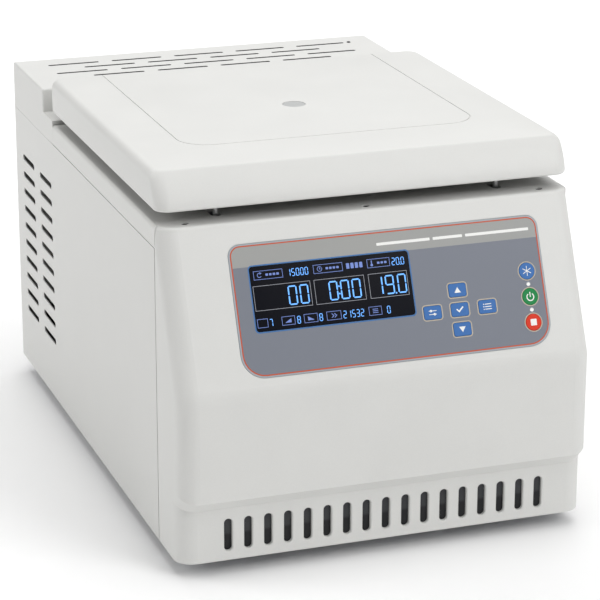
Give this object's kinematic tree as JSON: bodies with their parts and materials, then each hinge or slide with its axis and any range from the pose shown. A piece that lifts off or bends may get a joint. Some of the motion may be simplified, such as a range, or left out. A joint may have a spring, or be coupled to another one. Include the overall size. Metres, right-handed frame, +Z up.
{
  "type": "laboratory centrifuge",
  "caption": "Refrigerated benchtop laboratory centrifuge with a flat hinged lid, slanted keypad panel, louvred sides and an angle rotor in a cooled chamber.",
  "frame": {"origin": "under the middle of the machine, on the surface that its feet stand on", "axes": "+X to the operator's right, +Y to the back, +Z up"},
  "size_m": [0.4, 0.61, 0.365],
  "materials": {
    "moulding": "fine textured moulding",
    "deck_paint": "fine textured moulding",
    "panel_paint": "fine textured powder coat",
    "port_cap": "translucent grey",
    "liner_plastic": "moulded",
    "zinc_steel": "zinc plated",
    "bright_steel": "turned",
    "stainless": "spun, satin",
    "spring_steel": "oiled wire",
    "dark_screws": "black oxide",
    "rubber": "matte",
    "filter_foam": "open cell",
    "insulation_foam": "rigid foam",
    "copper": "drawn copper",
    "motor_aluminium": "cast",
    "winding": "varnished",
    "rotor_aluminium": "hard anodised",
    "knob_black": "moulded",
    "black_paint": "baked enamel",
    "fin_aluminium": "bare",
    "black_plastic": "moulded",
    "grille_wire": "plated wire",
    "panel_film": "printed film, satin",
    "display_glass": "dark window",
    "display_body": "moulded",
    "circuit_board": "solder mask",
    "led_lens": "diffused lens",
    "key_blue": "satin film",
    "key_green": "satin film",
    "key_red": "satin film"
  },
  "bodies": {
    "chassis": {"base_pan": "zinc_steel", "rubber_feet": "rubber", "left_side_panel": "panel_paint", "right_side_panel": "panel_paint", "rear_panel": "panel_paint", "front_cover": "moulding", "air_filter": "filter_foam", "top_deck": "deck_paint", "rear_housing": "deck_paint", "case_screws": "dark_screws", "rear_crossbar": "zinc_steel", "hinge_brackets": "zinc_steel", "hinge_pins": "bright_steel", "torsion_springs": "spring_steel", "latch_bodies": "black_plastic", "chamber_bowl": "stainless", "chamber_gasket": "rubber", "evaporator_coil": "copper", "insulation_shell": "insulation_foam", "armour_ring": "zinc_steel", "motor_bracket": "zinc_steel", "rubber_mounts": "rubber", "motor_housing": "motor_aluminium", "motor_bearings": "bright_steel", "motor_stator": "winding", "compressor": "black_paint", "condenser": "fin_aluminium", "fan_frame": "black_plastic", "fan_grille": "grille_wire", "refrigerant_pipes": "copper", "keypad_panel": "panel_film", "display_window": "display_glass", "display_module": "display_body", "control_board": "circuit_board", "indicator_leds": "led_lens", "inverter_board": "circuit_board", "power_inlet": "black_plastic", "power_switch": "black_plastic"},
    "lid": {"lid_shell": "moulding", "lid_window": "port_cap", "lid_liner": "liner_plastic", "lid_plate": "zinc_steel", "striker_pins": "bright_steel", "hinge_arms": "bright_steel"},
    "spindle": {"motor_shaft": "bright_steel", "rotor_body": "rotor_aluminium"},
    "rotor_cover": {"rotor_lid": "rotor_aluminium"},
    "rotor_knob": {"rotor_knob": "knob_black"},
    "fan_impeller": {"fan_impeller": "black_plastic"},
    "power_rocker": {"power_rocker": "black_plastic"},
    "left_latch_hook": {"left_latch_hook": "bright_steel"},
    "right_latch_hook": {"right_latch_hook": "bright_steel"},
    "key_up": {"key_up": "key_blue"},
    "key_enter": {"key_enter": "key_blue"},
    "key_down": {"key_down": "key_blue"},
    "key_set": {"key_set": "key_blue"},
    "key_prog": {"key_prog": "key_blue"},
    "key_fast_temp": {"key_fast_temp": "key_blue"},
    "key_start": {"key_start": "key_green"},
    "key_stop": {"key_stop": "key_red"}
  },
  "joints": [
    {"name": "lid_hinge", "type": "hinge", "parent": "chassis", "child": "lid", "pos_m": [0, 0.2, 0.332], "axis": [-1, 0, 0], "range_deg": [0, 75], "stiffness_Nm_per_rad": 5, "springref_deg": 80.21},
    {"name": "rotor_spin", "type": "hinge", "parent": "chassis", "child": "spindle", "pos_m": [0, -0.033, 0.2], "axis": [0, 0, 1], "continuous": true},
    {"name": "rotor_lid_lift", "type": "slide", "parent": "spindle", "child": "rotor_cover", "axis": [0, 0, 1], "range_m": [0, 0.02]},
    {"name": "rotor_knob_turn", "type": "hinge", "parent": "rotor_cover", "child": "rotor_knob", "pos_m": [0, -0.033, 0.28], "axis": [0, 0, 1], "continuous": true},
    {"name": "condenser_fan_spin", "type": "hinge", "parent": "chassis", "child": "fan_impeller", "pos_m": [0.08, 0.285, 0.13], "axis": [0, 1, 0], "continuous": true},
    {"name": "power_rocker_tilt", "type": "hinge", "parent": "chassis", "child": "power_rocker", "pos_m": [-0.112, 0.297, 0.062], "axis": [1, 0, 0], "range_deg": [-14, 0]},
    {"name": "right_latch_turn", "type": "hinge", "parent": "chassis", "child": "right_latch_hook", "pos_m": [0.115, -0.212, 0.3045], "axis": [0, 0, -1], "range_deg": [0, 32]},
    {"name": "left_latch_turn", "type": "hinge", "parent": "chassis", "child": "left_latch_hook", "pos_m": [-0.115, -0.212, 0.3045], "axis": [0, 0, 1], "range_deg": [0, 32]},
    {"name": "key_up_press", "type": "slide", "parent": "chassis", "child": "key_up", "axis": [0, 0.9165, -0.4001], "range_m": [0, 0.0005], "stiffness_N_per_m": 600},
    {"name": "key_enter_press", "type": "slide", "parent": "chassis", "child": "key_enter", "axis": [0, 0.9165, -0.4001], "range_m": [0, 0.0005], "stiffness_N_per_m": 600},
    {"name": "key_down_press", "type": "slide", "parent": "chassis", "child": "key_down", "axis": [0, 0.9165, -0.4001], "range_m": [0, 0.0005], "stiffness_N_per_m": 600},
    {"name": "key_set_press", "type": "slide", "parent": "chassis", "child": "key_set", "axis": [0, 0.9165, -0.4001], "range_m": [0, 0.0005], "stiffness_N_per_m": 600},
    {"name": "key_prog_press", "type": "slide", "parent": "chassis", "child": "key_prog", "axis": [0, 0.9165, -0.4001], "range_m": [0, 0.0005], "stiffness_N_per_m": 600},
    {"name": "key_fast_temp_press", "type": "slide", "parent": "chassis", "child": "key_fast_temp", "axis": [0, 0.9165, -0.4001], "range_m": [0, 0.0005], "stiffness_N_per_m": 600},
    {"name": "key_start_press", "type": "slide", "parent": "chassis", "child": "key_start", "axis": [0, 0.9165, -0.4001], "range_m": [0, 0.0005], "stiffness_N_per_m": 600},
    {"name": "key_stop_press", "type": "slide", "parent": "chassis", "child": "key_stop", "axis": [0, 0.9165, -0.4001], "range_m": [0, 0.0005], "stiffness_N_per_m": 600}
  ],
  "couplings": [
    {"joint": "left_latch_turn", "follows": "right_latch_turn", "ratio": 1}
  ]
}
